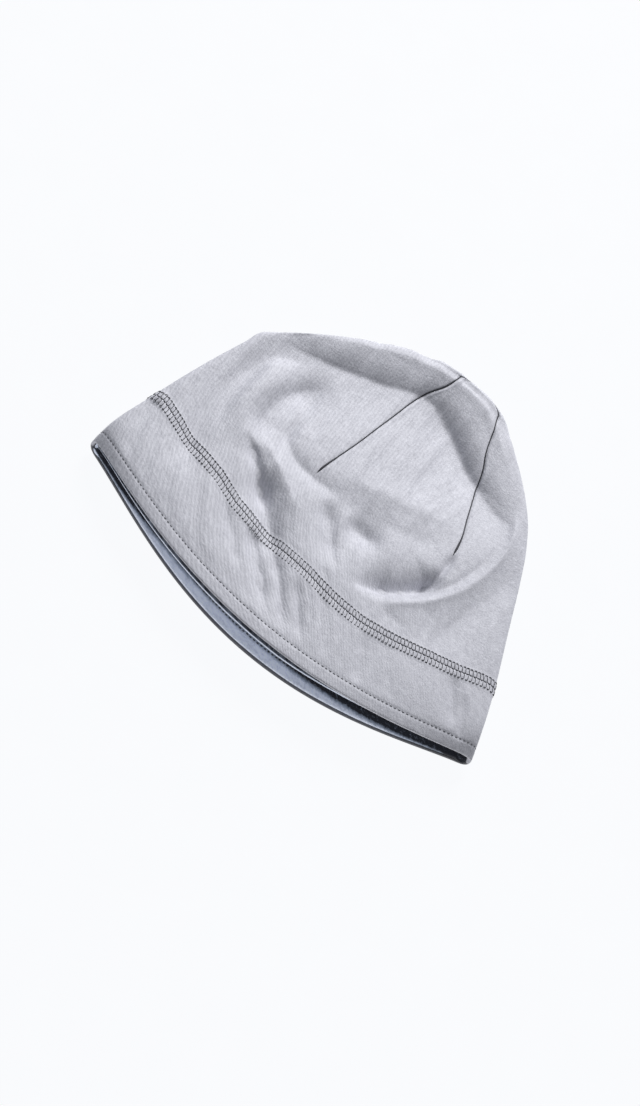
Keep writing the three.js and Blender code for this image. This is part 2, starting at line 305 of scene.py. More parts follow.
def one_fold(x, y, line, left, right, rise, fade, blunt):
    """How much a fold lifts the cloth at points near its line."""
    nearest = np.full(x.shape, np.inf)
    side = np.zeros_like(x)
    along = np.zeros_like(x)
    count = len(line) - 1
    for i in range(count):
        start, step = line[i], line[i + 1] - line[i]
        length = np.hypot(*step)
        u = np.clip(((x - start[0]) * step[0] + (y - start[1]) * step[1]) / length**2, 0, 1)
        dx = x - start[0] - u * step[0]
        dy = y - start[1] - u * step[1]
        far = np.hypot(dx, dy)
        closer = far < nearest
        nearest = np.where(closer, far, nearest)
        side = np.where(closer, (dx * step[1] - dy * step[0]) / length, side)
        along = np.where(closer, (i + u) / count, along)
    strength = smoothstep(0, fade, along) * smoothstep(1, 1 - fade, along)
    blend = smoothstep(-1, 1, side / np.minimum(left, right) * 2)
    far = nearest / (left + (right - left) * blend)
    return rise * strength * np.exp(blunt - np.sqrt(blunt**2 + 4 * far**2))


def fold_height(x, y):
    """How much all folds together lift the cloth at plan points."""
    shape = x.shape
    x, y = x.ravel(), y.ravel()
    lift = np.zeros_like(x)
    for (_, left, right, rise, fade, blunt, _), line in zip(FOLDS, FOLD_LINES):
        reach = max(left, right) * FOLD_RANGE
        low, high = line.min(0) - reach, line.max(0) + reach
        near = (x > low[0]) & (x < high[0]) & (y > low[1]) & (y < high[1])
        lift[near] += one_fold(x[near], y[near], line, left, right, rise, fade, blunt)
    return lift.reshape(shape)


def outer_point(at, angle):
    """The cloth's outer face. angle 0 is the right fold, a quarter turn the top's middle."""
    at, angle = np.broadcast_arrays(np.asarray(at, float), np.asarray(angle, float))
    s = section(at)
    middle, half = (s["lx"] + s["rx"]) / 2, (s["rx"] - s["lx"]) / 2
    level = (s["ly"] + s["ry"]) / 2
    cos, sin = np.cos(angle), np.sin(angle)
    full = np.abs(sin)
    x = middle + half * cos
    edge = level + (s["ry"] - s["ly"]) / 2 * cos
    y_top = edge + (s["ty"] - level) * full ** s["bow"]
    y_under = edge + (s["uy"] - level) * full**UNDER_BOW * (1 + UNDER_LEAN * cos)
    z_top = s["fz"] + (s["tz"] - s["fz"]) * full ** s["puff"]
    reach = np.maximum(np.minimum((s["fz"] - s["uz"]) * FOLD_REACH, half), 1e-6)
    u = np.clip(1 - half * (1 - np.abs(cos)) / reach, 0, 1)
    z_under = s["uz"] + (s["fz"] - s["uz"]) * (1 - np.sqrt(1 - u**2))
    is_top = sin >= 0
    y = np.where(is_top, y_top, y_under)
    z = np.where(is_top, z_top, z_under)
    strength = smoothstep(*CALM_SIDE, sin) * smoothstep(TIP, TIP - CALM_TIP, at)
    folded = strength > 0
    lift = np.zeros_like(z)
    lift[folded] = fold_height(x[folded], y[folded]) * strength[folded]
    return np.stack([x, y, z + lift], -1)


WAVE_X, WAVE_SHIFT = np.array(SEAM_WAVE, float).T


def strayed(at, angle):
    """A distance from the edge, moved as the wavy seam is near it on the top wall."""
    s = section(at)
    x = (s["lx"] + s["rx"]) / 2 + (s["rx"] - s["lx"]) / 2 * np.cos(angle)
    shift = np.interp(x, WAVE_X, WAVE_SHIFT) * smoothstep(*WAVE_SIDE, np.sin(angle))
    return at + shift * smoothstep(*WAVE_BELOW, at) * smoothstep(*WAVE_ABOVE, at)


# Steps over which the cloth's slope is measured, along it and round it.
NORMAL_STEP = 0.4
NORMAL_TURN = 0.006


def cloth(at, angle):
    """Point and outward normal of the outer face."""
    at, angle = np.broadcast_arrays(np.asarray(at, float), np.asarray(angle, float))
    point = outer_point(strayed(at, angle), angle)
    low = np.minimum(at, TIP - 2 * NORMAL_STEP) - NORMAL_STEP
    high = low + 2 * NORMAL_STEP
    between = high - NORMAL_STEP
    before, after = angle - NORMAL_TURN, angle + NORMAL_TURN
    up = outer_point(strayed(high, angle), angle) - outer_point(strayed(low, angle), angle)
    across = outer_point(strayed(between, after), after) - outer_point(strayed(between, before), before)
    normal = np.cross(up, across)
    normal /= np.maximum(np.linalg.norm(normal, axis=-1, keepdims=True), 1e-9)
    return point, normal


# Darts: where they cross each ring, as an angle


DART_LINE_STEPS = 60
DART_SEARCH = np.linspace(0.2, math.pi - 0.2, 500)
DART_RINGS = np.linspace(DART_START, DART_HOLD, 49)


def dart_angle(points):
    """The angles at which a dart of the top wall crosses the rings."""
    line = smooth_line(points, DART_LINE_STEPS)
    found = []
    for at in DART_RINGS:
        ring = outer_point(at, DART_SEARCH)
        gap = np.interp(ring[:, 1], line[:, 1], line[:, 0]) - ring[:, 0]
        found.append(np.interp(0, gap, DART_SEARCH))
    return np.array(found)


DART_ANGLES = {"left": dart_angle(DART_LEFT), "right": dart_angle(DART_RIGHT)}


def darts(at):
    """Angles of the four darts at a ring, the under wall's two mirrored from the top's."""
    right = np.interp(at, DART_RINGS, DART_ANGLES["right"])
    left = np.interp(at, DART_RINGS, DART_ANGLES["left"])
    return right, left, 2 * math.pi - left, 2 * math.pi - right


# Grids of points


SPAN_SAMPLES = 90
TOP_STEP, UNDER_STEP = 1.15, 2.6
TURN_STEP = 0.035
DART_STEP, DART_NEAR = 0.3, 1.6


def ring_spans(at):
    """Each stretch of a ring: its first and last angle, its step, and whether either is a dart."""
    a, b, c, d = (float(v) for v in darts(at))
    return [
        (0, a, TOP_STEP, False, True), (a, b, TOP_STEP, True, True),
        (b, math.pi, TOP_STEP, True, False), (math.pi, c, UNDER_STEP, False, True),
        (c, d, UNDER_STEP, True, True), (d, 2 * math.pi, UNDER_STEP, True, False),
    ]


def span_density(at, span):
    """Angles along a stretch, and the wanted density of columns summed up to each."""
    start, end, step, dart_first, dart_last = span
    s = section(at)
    half = (s["rx"] - s["lx"]) / 2
    angles = np.linspace(start, end, SPAN_SAMPLES)
    density = half * np.abs(np.sin(angles)) / step + 1 / TURN_STEP
    for is_dart, place in ((dart_first, start), (dart_last, end)):
        if is_dart:
            away = half * np.cos(angles) - half * math.cos(place)
            density += half * np.abs(np.sin(angles)) / DART_STEP * bell(away, DART_NEAR)
    return angles, np.concatenate([[0], np.cumsum((density[1:] + density[:-1]) / 2)])


def span_count(at, span):
    start, end = span[:2]
    return round(span_density(at, span)[1][-1] * (end - start) / (SPAN_SAMPLES - 1))


def span_angles(at, span, count):
    """count angles from a stretch's start, closer together beside a dart."""
    angles, total = span_density(at, span)
    return np.interp(np.linspace(0, total[-1], count + 1), total, angles)[:-1]


def ring_angles(ats):
    """A grid of angles: a row for each ring, whose columns keep to the darts."""
    counts = [span_count(DART_START, span) for span in ring_spans(DART_START)]
    return np.array([
        np.concatenate([span_angles(at, span, count) for span, count in zip(ring_spans(at), counts)])
        for at in ats
    ])


# Unevenness of the cloth


TABLE_SIZE = 256


def lattice_noise(u, v, seed):
    """Smooth noise from -1 to 1 with features one unit wide."""
    table = np.random.default_rng(seed).uniform(-1, 1, (TABLE_SIZE, TABLE_SIZE))
    iu, iv = np.floor(u).astype(int), np.floor(v).astype(int)
    fu, fv = u - iu, v - iv
    fu, fv = fu * fu * (3 - 2 * fu), fv * fv * (3 - 2 * fv)

    def corner(i, j):
        return table[(iu + i) % TABLE_SIZE, (iv + j) % TABLE_SIZE]

    low = corner(0, 0) * (1 - fu) + corner(1, 0) * fu
    high = corner(0, 1) * (1 - fu) + corner(1, 1) * fu
    return low * (1 - fv) + high * fv


# Noise that shapes the cloth: its fine pulls, its soft bumps and the lining's waves.
PULLS = [
    # width, length, height, seed
    (1.7, 30, 0.10, 3),
    (3.4, 36, 0.36, 7),
    (7.5, 48, 0.7, 4),
]
SOFT_BUMPS = [
    # width, length, height, seed
    (19, 15, 0.2, 5),
    (8.5, 8, 0.07, 6),
]
LINING_WAVES = [
    # width, length, height, seed
    (9, 14, 0.18, 11),
    (3.4, 10, 0.05, 12),
]

# The pulls run straight up in the crown and fan out below this height in the plan.
PULL_TURN, PULL_BLEND = 46.0, 11.0
PULL_LEFT, PULL_RIGHT = -105.0, 10.0
PULL_SLOPE_LEFT, PULL_SLOPE_RIGHT = 0.22, 0.82

# The pulls weaken towards the right, down to this share.
PULL_LEAST = 0.2
PULL_FADE = (62, -10)

# The relief dies away at the side folds, by the sine of the ring's angle, and at the
# hem, at the seam and at the tip.
RELIEF_SIDE = (0.03, 0.3)
RELIEF_HEM = (HEM_LINE + 1, HEM_LINE + 7)
RELIEF_BELOW_SEAM = (SEAM, SEAM - 6)
RELIEF_ABOVE_SEAM = (SEAM, SEAM + 8)
RELIEF_TIP = (TIP - 2, TIP - 20)


def waves(u, v, sizes):
    """Noise of several sizes, each a row of width, length, height and seed."""
    return sum(lattice_noise(u / width, v / length, seed) * height for width, length, height, seed in sizes)


def streak_coordinates(x, y):
    """Across and along the fine pulls of the cloth."""
    share = np.clip((x - PULL_LEFT) / (PULL_RIGHT - PULL_LEFT), 0, 1)
    slope = PULL_SLOPE_LEFT + (PULL_SLOPE_RIGHT - PULL_SLOPE_LEFT) * share
    below = -PULL_BLEND * np.logaddexp(0, (PULL_TURN - y) / PULL_BLEND)
    return x + slope * below, y


def relief(point, angle):
    """Shallow unevenness of the cloth, in millimetres along the normal."""
    x, y = point[..., 0], point[..., 1]
    across, along = streak_coordinates(x, y)
    pulled = PULL_LEAST + (1 - PULL_LEAST) * smoothstep(*PULL_FADE, x)
    calm = smoothstep(*RELIEF_SIDE, np.abs(np.sin(angle)))
    return (waves(across, along, PULLS) * pulled + waves(x, y, SOFT_BUMPS)) * calm


def crown_relief(point, at, angle):
    """The relief, faded out at the seam and at the tip."""
    return relief(point, angle) * smoothstep(*RELIEF_ABOVE_SEAM, at) * smoothstep(*RELIEF_TIP, at)


def dart_groove(at, angle):
    """How far the cloth dips towards its darts."""
    s = section(at)
    half = (s["rx"] - s["lx"]) / 2
    dip = np.zeros_like(angle)
    for place, start in zip(darts(at), DART_STARTS):
        rightward = half * (np.cos(angle) - np.cos(place))
        away = np.abs(rightward)
        same_wall = (np.sin(angle) * np.sin(place)) > 0
        line = np.exp(-away / DART_HALF) * DART_DEPTH
        shoulder = bell(away, DART_SHOULDER_HALF) * DART_SHOULDER
        lip = bell(rightward - DART_LIP_AWAY, DART_LIP_HALF) * DART_LIP
        dip += np.where(same_wall, line + shoulder - lip, 0) * smoothstep(*DART_BEGIN, at - start)
    return dip * smoothstep(*DART_END, at)


def strip_height(offset):
    """The seam's flat strip stands a little proud, and sinks at each row of stitches."""
    body = STRIP_RISE * smoothstep(*STRIP_LOW, offset) * smoothstep(*STRIP_HIGH, offset)
    for line in SEAM_LINES.values():
        body = body - STRIP_SINK * bell(offset - line, STRIP_SINK_HALF)
    return body


# Meshes


def add_piece(name, points, faces, material, replaced, cloth_places=None):
    """A mesh object from millimetre points in the plan, riding on the body."""
    placed = (np.asarray(points, float).reshape(-1, 3) - (0, ALONG, 0)) * MM
    placed[:, 2] = np.maximum(placed[:, 2], 0)
    mesh = bpy.data.meshes.new(name)
    mesh.from_pydata(placed.tolist(), [], faces)
    mesh.validate()
    if cloth_places is not None:
        made = mesh.attributes.new("cloth", "FLOAT_VECTOR", "POINT")
        made.data.foreach_set("vector", np.asarray(cloth_places, np.float32).ravel())
    mesh.polygons.foreach_set("use_smooth", [True] * len(mesh.polygons))
    mesh.materials.append(material)
    piece = bpy.data.objects.new(name, mesh)
    bpy.context.scene.collection.objects.link(piece)
    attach(piece, "root")
    if replaced:
        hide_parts(replaced)


def loop_faces(rows, columns, closed_rows, first=0):
    """Quads of a grid whose columns go right round, and whose rows may too."""
    faces = []
    for i in range(rows if closed_rows else rows - 1):
        here, after = first + i * columns, first + (i + 1) % rows * columns
        for j in range(columns):
            k = (j + 1) % columns
            faces.append((here + j, here + k, after + k, after + j))
    return faces


def cloth_coordinates(points, third):
    """What the materials read: across and along the pulls, and a measure of the piece's own, which carries
    the painted shade on the band and the lining.
    """
    across, along = streak_coordinates(points[..., 0], points[..., 1])
    return np.stack([across, along, third], -1) * MM


# Rings of the crown: fine beside the seam, even over the middle, and closing in at the tip.
SEAM_RINGS, SEAM_FINE = 15, 9.0
MIDDLE_RINGS = 136
TIP_RINGS, TIP_FINE, TIP_HOLE, TIP_SPREAD = 22, 14, 0.5, 0.8
INNER_RINGS = 44
TIP_OUT = (0, 0.3, 0)


def crown_rings():
    closing = np.linspace(0, 1, TIP_RINGS)[1:] ** TIP_SPREAD
    return np.concatenate([
        np.linspace(SEAM + SEAM_GAP / 2, SEAM + SEAM_FINE, SEAM_RINGS),
        np.linspace(SEAM + SEAM_FINE + 1, TIP - TIP_FINE, MIDDLE_RINGS),
        TIP - TIP_FINE + (TIP_FINE - TIP_HOLE) * closing,
    ])


def crown_faces(outer_rows, inner_rows, columns):
    """The outer face up to the tip, the inner face back down, and the rim between them."""
    inner_first = outer_rows * columns
    outer_last = inner_first - columns
    inner_last = inner_first + (inner_rows - 1) * columns
    tip_out = inner_last + columns
    tip_in = tip_out + 1
    faces = loop_faces(outer_rows, columns, False)
    faces += loop_faces(inner_rows, columns, False, inner_first)
    for j in range(columns):
        k = (j + 1) % columns
        faces.append((inner_last + j, inner_last + k, k, j))
        faces.append((outer_last + j, outer_last + k, tip_out))
        faces.append((inner_first + k, inner_first + j, tip_in))
    return faces


def crown_mesh(material):
    """The crown: its outer and inner face, joined by the rim at the seam."""
    rings = crown_rings()
    angle = ring_angles(rings)
    at = rings[:, None] + 0 * angle
    point, normal = cloth(at, angle)
    height = crown_relief(point, at, angle) - dart_groove(at, angle) + strip_height(at - SEAM)
    outer = point + normal * height[..., None]
    picks = np.linspace(0, len(rings) - 1, INNER_RINGS).round().astype(int)[::-1]
    inner = point[picks] - normal[picks] * CROWN_WALL
    tip_out = outer_point(TIP, 0.0) + TIP_OUT
    tip_in = inner[0].mean(0)
    points = np.vstack([outer.reshape(-1, 3), inner.reshape(-1, 3), tip_out, tip_in])
    ats = np.concatenate([at.ravel(), at[picks].ravel(), [TIP, TIP]])
    faces = crown_faces(len(rings), len(picks), angle.shape[1])
    places = cloth_coordinates(points, ats)
    add_piece("crown_jersey", points, faces, material, "crown", places)


def hem_wall(angle):
    """The folded hem is thicker where the opening gapes, towards the right."""
    return HEM_WALL + HEM_GAPE * smoothstep(*HEM_GAPE_SIDE, np.cos(angle)) * (np.sin(angle) > 0)


def lining_start(angle):
    """Depth at which the lining's fold begins, behind the hem."""
    return np.maximum(hem_wall(angle), BAND_WALL) + HEM_GAP


# Rows of the lower panel's and the lining's sections, by distance from the edge. The
# lining's fold is measured from its own edge.
BAND_TOP = SEAM - SEAM_GAP / 2
BAND_OUTSIDE = [*np.linspace(BAND_TOP, SEAM - 7, 12), *np.linspace(SEAM - 8, HEM_TOP + 0.6, 22)]
HEM_OUTSIDE = np.linspace(HEM_TOP, HEM_BOTTOM, 15)
HEM_INSIDE = (1.0, 2.5, 4.5, HEM_LINE)
BAND_INSIDE = (7.4, 10.0, 16.0, 24.0, 31.0, BAND_TOP)
LINING_TOP = SEAM - 0.6
LINING_OUTSIDE = np.linspace(LINING_TOP, 9.0, 20)
LINING_FOLD_OUTSIDE = (6.5, 4.5, 2.5)
LINING_FOLD_INSIDE = (1.6, 2.4, 3.4, 4.2, 4.8, LINING_STITCH_AT, 6.0, 6.6, 7.2, 8.0)
LINING_INSIDE = np.linspace(10.0, LINING_TOP, 12)
EDGE_TURN = np.linspace(0, math.pi, 11)


def band_profile(angle):
    """Rows of (distance from the edge, depth) round the lower panel's section."""
    wall = hem_wall(angle)
    rows = [(at, 0.0) for at in BAND_OUTSIDE]
    for at in HEM_OUTSIDE:
        groove = HEM_GROOVE * bell(at - HEM_LINE, HEM_GROOVE_HALF)
        pillow = HEM_PILLOW * smoothstep(HEM_LINE, 4.4, at) * smoothstep(0.4, 2.4, at)
        rows.append((at, groove - pillow))
    for turn in EDGE_TURN[1:-1]:
        rows.append((EDGE_ROUND * (1 - math.sin(turn)) + 0.1, wall / 2 * (1 - math.cos(turn))))
    rows += [(at, wall) for at in HEM_INSIDE]
    rows += [(at, BAND_WALL) for at in BAND_INSIDE]
    ats = np.array([at + 0 * angle for at, _ in rows])
    depths = np.array([depth + 0 * angle for _, depth in rows])
    return ats, depths


def lining_edge(angle):
    """Where the lining's fold starts: it peeps out of the hem at the top's left and middle."""
    sine = np.sin(angle)
    out = smoothstep(*PEEP_RIGHT, np.cos(angle)) * (sine > 0) * smoothstep(*PEEP_SIDE, sine)
    return LINING_TUCK - LINING_PEEP * out


def lining_profile(angle):
    """Rows of (distance from the edge, depth) round the lining's section."""
    edge = lining_edge(angle)
    outside = lining_start(angle)
    rows = [(at + 0 * angle, BAND_WALL + LINING_GAP + 0 * angle) for at in LINING_OUTSIDE]
    rows += [(edge + at, outside) for at in LINING_FOLD_OUTSIDE]
    for turn in EDGE_TURN:
        depth = outside + LINING_FOLD / 2 * (1 - math.cos(turn))
        rows.append((edge + 0.7 * (1 - math.sin(turn)), depth))
    for at in LINING_FOLD_INSIDE:
        groove = LINING_GROOVE * bell(at - LINING_STITCH_AT, HEM_GROOVE_HALF)
        thinner = (LINING_FOLD - LINING_WALL) * smoothstep(2.4, 7.6, at)
        rows.append((edge + at, outside + LINING_FOLD - groove - thinner))
    rows += [(at + 0 * angle, outside + LINING_WALL) for at in LINING_INSIDE]
    return np.array([at for at, _ in rows]), np.array([depth for _, depth in rows])


def sleeve_mesh(name, profile, material, replaced, bumps, third):
    """A ring of cloth: a closed section taken right round the hat.

    bumps gives its relief and third the last of its cloth coordinates, both from the
    points, their distance from the edge, their angle and their depth.
    """
    columns = ring_angles([DART_START])[0]
    at, depth = profile(columns)
    angle = np.broadcast_to(columns, at.shape)
    point, normal = cloth(at, angle)
    height = -depth + bumps(point, at, angle, depth)
    points = point + normal * height[..., None]
    faces = [face[::-1] for face in loop_faces(*at.shape, True)]
    places = cloth_coordinates(points, third(points, at, angle, depth))
    add_piece(name, points, faces, material, replaced, places)


def band_bumps(point, at, angle, depth):
    """The lower panel's relief and its half of the seam's strip, on the outer face alone."""
    outer = smoothstep(BAND_WALL / 2, BAND_WALL / 6, np.abs(depth))
    calm = smoothstep(*RELIEF_HEM, at) * smoothstep(*RELIEF_BELOW_SEAM, at)
    return (relief(point, angle) * calm + strip_height(at - SEAM)) * outer


def lining_bumps(point, at, angle, depth):
    return waves(point[..., 0], at, LINING_WAVES)


# Painted shade: the under wall's rim gets a darker colour, marked by a distance from the edge that reads
# below zero there.
PAINTED_RIM_SHADE_DROP = 4.0
PAINTED_RIM_SHADE_SPAN = (1.6, 0.9)


def band_painted_shade(points, at, angle, depth):
    """The distance from the edge, but below zero round the under wall's rim, to mark painted shade there.
    """
    return at - PAINTED_RIM_SHADE_DROP * smoothstep(*PAINTED_RIM_SHADE_SPAN, at) * (np.sin(angle) < 0)


# Painted shade in the opening: the lining's colour is made darker by where it lies. A
# point's share is how far inside the rim it lies for each millimetre of the opening's
# height there. It grows by MOUTH_RIGHT towards the right, and the opening counts as lower
# by MOUTH_LEFT near its left corner. CREASE paints shade on the top wall's lining beside
# the hem, and CORNER on the right corner.
RIM_TURN = np.linspace(math.pi - 0.02, 0.02, 240)
SHARE_SCALE = 10.0
MOUTH_RIGHT, MOUTH_RIGHT_X = 0.22, (-15, 85)
MOUTH_LEFT, MOUTH_LEFT_X = 0.35, (-50, -105)
SHARE_RANGE = (-0.3, 1.5)
CREASE_SHADE, CREASE_BASE, CREASE_END = 0.6, -0.1, (0.55, 0.25)
CORNER_SHADE, CORNER_X, CORNER_FROM = 8, (104, 112), 0.6


def mouth_painted_shade(points, at, angle, depth):
    """A measure of the painted shade for a point of the lining, by where it lies in the opening."""
    rim = outer_point(0.0, RIM_TURN)
    x = points[..., 0]
    rim_y = np.interp(x, rim[:, 0], rim[:, 1])
    rim_z = np.interp(x, rim[:, 0], rim[:, 2]) - 2 * HEM_WALL
    height = np.maximum(rim_z - points[..., 2], 1.0) * (1 - MOUTH_LEFT * smoothstep(*MOUTH_LEFT_X, x))
    share = (points[..., 1] - rim_y) / height + MOUTH_RIGHT * smoothstep(*MOUTH_RIGHT_X, x)
    crease = smoothstep(*CREASE_END, depth - lining_start(angle))
    corner = smoothstep(*CORNER_X, x) * (at > CORNER_FROM)
    under, top = np.clip(share, *SHARE_RANGE), CREASE_SHADE * crease + CREASE_BASE
    return SHARE_SCALE * np.where(np.sin(angle) < 0, under, top) + CORNER_SHADE * corner


# Thread


TUBE_SIDES = 6
WALK_SAMPLES = 4001
HEM_THREAD_SINK, LINING_THREAD_SINK = 0.2, 0.25


def tubes(paths, normals, radii, first):
    """Points and faces of short tubes along paths, with vertices numbered from first."""
    count, steps = paths.shape[:2]
    tangent = np.gradient(paths, axis=1)
    tangent /= np.maximum(np.linalg.norm(tangent, axis=-1, keepdims=True), 1e-9)
    side = np.cross(tangent, normals)
    side /= np.maximum(np.linalg.norm(side, axis=-1, keepdims=True), 1e-9)
    up = np.cross(side, tangent)
    turn = np.linspace(0, 2 * math.pi, TUBE_SIDES, endpoint=False)
    ring = (
        up[:, :, None, :] * np.cos(turn)[None, None, :, None]
        + side[:, :, None, :] * np.sin(turn)[None, None, :, None]
    )
    points = paths[:, :, None, :] + ring * radii[..., None, None]
    j = np.arange(TUBE_SIDES)
    k = (j + 1) % TUBE_SIDES
    quads = []
    for i in range(steps - 1):
        a, b = i * TUBE_SIDES, (i + 1) * TUBE_SIDES
        quads.append(np.stack([a + j, b + j, b + k, a + k], -1))
    quads = np.concatenate(quads)
    ends = [tuple(j), tuple((steps - 1) * TUBE_SIDES + j[::-1])]
    faces = []
    for n in range(count):
        base = first + n * steps * TUBE_SIDES
        faces.extend(map(tuple, (quads + base).tolist()))
        faces.extend(tuple(int(v) + base for v in end) for end in ends)
    return points.reshape(-1, 3), faces


def thread_mesh(name, groups, material):
    """One joined mesh of short tubes. groups holds (paths, normals, radii), each count x steps."""
    all_points, all_faces, first = [], [], 0
    for paths, normals, radii in groups:
        points, faces = tubes(paths, normals, radii, first)
        all_points.append(points)
        all_faces.extend(faces)
        first += len(points)
    add_piece(name, np.concatenate(all_points), all_faces, material, None)


def ring_walk(at, pitch):
    """How many stitches go round a ring, and a function from a place in stitches to an angle."""
    dense = np.linspace(0, 2 * math.pi, WALK_SAMPLES)
    ring = outer_point(strayed(at + 0 * dense, dense), dense)
    length = np.concatenate([[0], np.cumsum(np.linalg.norm(np.diff(ring, axis=0), axis=1))])
    count = round(length[-1] / pitch)
    step = length[-1] / count
    return count, lambda place: np.interp((place % count) * step, length, dense)


def wobble(count, seed, size):
    return np.random.default_rng(seed).uniform(-size, size, count)


# A stitch in five steps: its height and its thickness, as shares, and a rung's height.
DASH_RISE = np.array([-0.9, 0.6, 1.0, 0.6, -0.9])
DASH_ENDS = np.array([0.55, 0.95, 1.0, 0.95, 0.55])
RUNG_RISE = np.array([-0.1, 0.12, 0.16, 0.12, -0.05])
RUNG_SLANT, RUNG_WOBBLE = 0.16, 0.1
DASH_WOBBLE = 0.06


def dashes(at, pitch, filled, radius, lift, seed, surface, jitter, loop=0.0):
    """A running stitch along a ring: short tubes that dive in at both ends.

    filled is the share of the pitch that shows, and surface gives the cloth's height.
    """
    count, walk = ring_walk(at, pitch)
    share = np.linspace(-1, 1, len(DASH_RISE))[None, :]
    place = np.arange(count)[:, None] + 0.5 + filled / 2 * share
    place = place + wobble(count, seed, DASH_WOBBLE)[:, None]
    angle = walk(place)
    ats = at + wobble(count, seed + 1, jitter)[:, None] + loop * (1 - share**2) + 0 * angle
    point, normal = cloth(ats, angle)
    paths = point + normal * (surface(ats, angle) + lift * DASH_RISE)[..., None]
    return paths, normal, radius * DASH_ENDS[None, :] * np.ones((count, 1))


def seam_surface(ats, angle):
    return strip_height(ats - SEAM)


def hem_surface(ats, angle):
    return -HEM_THREAD_SINK + 0 * ats


def lining_surface(ats, angle):
    return LINING_THREAD_SINK - lining_start(angle) - LINING_FOLD


def ladder(low, high, radius, seed, loop):
    """Threads that cross between two rows of the seam's stitches."""
    count, walk = ring_walk(SEAM, STITCH)
    slant = RUNG_SLANT + wobble(count, seed, RUNG_WOBBLE)
    steps = np.linspace(0, 1, len(RUNG_RISE))
    place = np.arange(count)[:, None] + slant[:, None] * steps[None, :] + loop * steps[None, :] ** 3
    ats = SEAM + low + (high - low) * steps[None, :] + 0 * place
    point, normal = cloth(ats, walk(place))
    paths = point + normal * (seam_surface(ats, place) + RUNG_RISE)[..., None]
    return paths, normal, radius * np.ones_like(place)


def seam_thread(material):
    """The cover stitch: three lines of stitches with rungs between them."""
    upper, middle, lower = (SEAM_LINES[name] for name in ("upper", "middle", "lower"))
    groups = [
        dashes(SEAM + upper - 0.3, STITCH, filled=1.0, radius=THREAD * 1.1, lift=0.26,
               seed=21, surface=seam_surface, jitter=0.1, loop=0.6),
        dashes(SEAM + middle, STITCH, filled=0.8, radius=THREAD * 0.85, lift=0.22,
               seed=23, surface=seam_surface, jitter=0.1),
        dashes(SEAM + lower, STITCH, filled=0.74, radius=THREAD * 1.2, lift=0.3,
               seed=25, surface=seam_surface, jitter=0.08),
        ladder(middle, upper - 0.2, radius=THREAD * 0.95, seed=27, loop=0.15),
        ladder(lower, middle, radius=THREAD * 0.85, seed=29, loop=0.0),
    ]
    thread_mesh("seam_thread", groups, material)


def hem_thread(material):
    """The hem's running stitch."""
    row = dashes(HEM_LINE, HEM_STITCH, filled=0.66, radius=THREAD * 0.95, lift=0.16,
                 seed=31, surface=hem_surface, jitter=0.05)
    thread_mesh("hem_thread", [row], material)


def lining_thread(material):
    """The same stitches, seen on the lining inside the opening."""
    row = dashes(HEM_LINE + 0.2, HEM_STITCH, filled=0.55, radius=THREAD * 1.8, lift=-0.1,
                 seed=33, surface=lining_surface, jitter=0.1)
    thread_mesh("lining_thread", [row], material)


# The sewn line of a dart: its radius, bolder at its lower end and, on the top left
# dart, also near the crest.
DART_STEPS = 120
DART_THREAD = 0.3
DART_THREAD_END = TIP - 9
DART_END_BOLD, DART_END_AT, DART_END_HALF = 0.3, 4, 6.0
DART_OPEN_BOLD, DART_OPEN_AT, DART_OPEN_HALF = 0.22, 163, 8.0
DART_TAPER, DART_THINNEST = (-1, 4), 0.1


def dart_thread(material):
    """The sewn line at the bottom of each dart."""
    groups = []
    for number, start in enumerate(DART_STARTS):
        rings = np.linspace(start - 0.5, DART_THREAD_END, DART_STEPS)
        angle = darts(rings)[number]
        point, normal = cloth(rings, angle)
        bold = DART_THREAD + DART_END_BOLD * bell(rings - start - DART_END_AT, DART_END_HALF)
        if number == TOP_LEFT:
            bold = bold + DART_OPEN_BOLD * bell(rings - DART_OPEN_AT, DART_OPEN_HALF)
        depth = dart_groove(rings, angle) - crown_relief(point, rings, angle) - DART_THREAD
        paths = (point - normal * depth[:, None])[None]
        ends = smoothstep(*DART_TAPER, np.arange(DART_STEPS)) * (1 - DART_THINNEST) + DART_THINNEST
        groups.append((paths, normal[None], (bold * ends)[None]))
    thread_mesh("dart_thread", groups, material)


# Materials


NOISE_ROUGHNESS = 0.6


def new_material(name):
    material = bpy.data.materials.new(name)
    material.use_nodes = True
    nodes = material.node_tree.nodes
    return material, nodes, material.node_tree.links, nodes["Principled BSDF"]


def noise_of(nodes, links, place, scale, detail):
    noise = nodes.new("ShaderNodeTexNoise")
    noise.inputs["Scale"].default_value = scale
    noise.inputs["Detail"].default_value = detail
    noise.inputs["Roughness"].default_value = NOISE_ROUGHNESS
    links.new(place, noise.inputs["Vector"])
    return noise.outputs["Fac"]


def cloth_place(nodes):
    """The piece's own measures of the cloth, as a vector socket."""
    place = nodes.new("ShaderNodeAttribute")
    place.attribute_name = "cloth"
    return place.outputs["Vector"]


def cloth_parts(nodes, links):
    """The three measures of the cloth, as sockets X, Y and Z."""
    split = nodes.new("ShaderNodeSeparateXYZ")
    links.new(cloth_place(nodes), split.inputs["Vector"])
    return split.outputs


def streaked_noise(nodes, links, scale, stretch, detail):
    """Noise drawn out along the pulls of the cloth, as a socket from 0 to 1."""
    mapping = nodes.new("ShaderNodeMapping")
    mapping.inputs["Scale"].default_value = (scale, scale / stretch, scale)
    links.new(cloth_place(nodes), mapping.inputs["Vector"])
    return noise_of(nodes, links, mapping.outputs["Vector"], 1.0, detail)


def object_noise(nodes, links, scale, detail):
    place = nodes.new("ShaderNodeTexCoord")
    return noise_of(nodes, links, place.outputs["Object"], scale, detail)


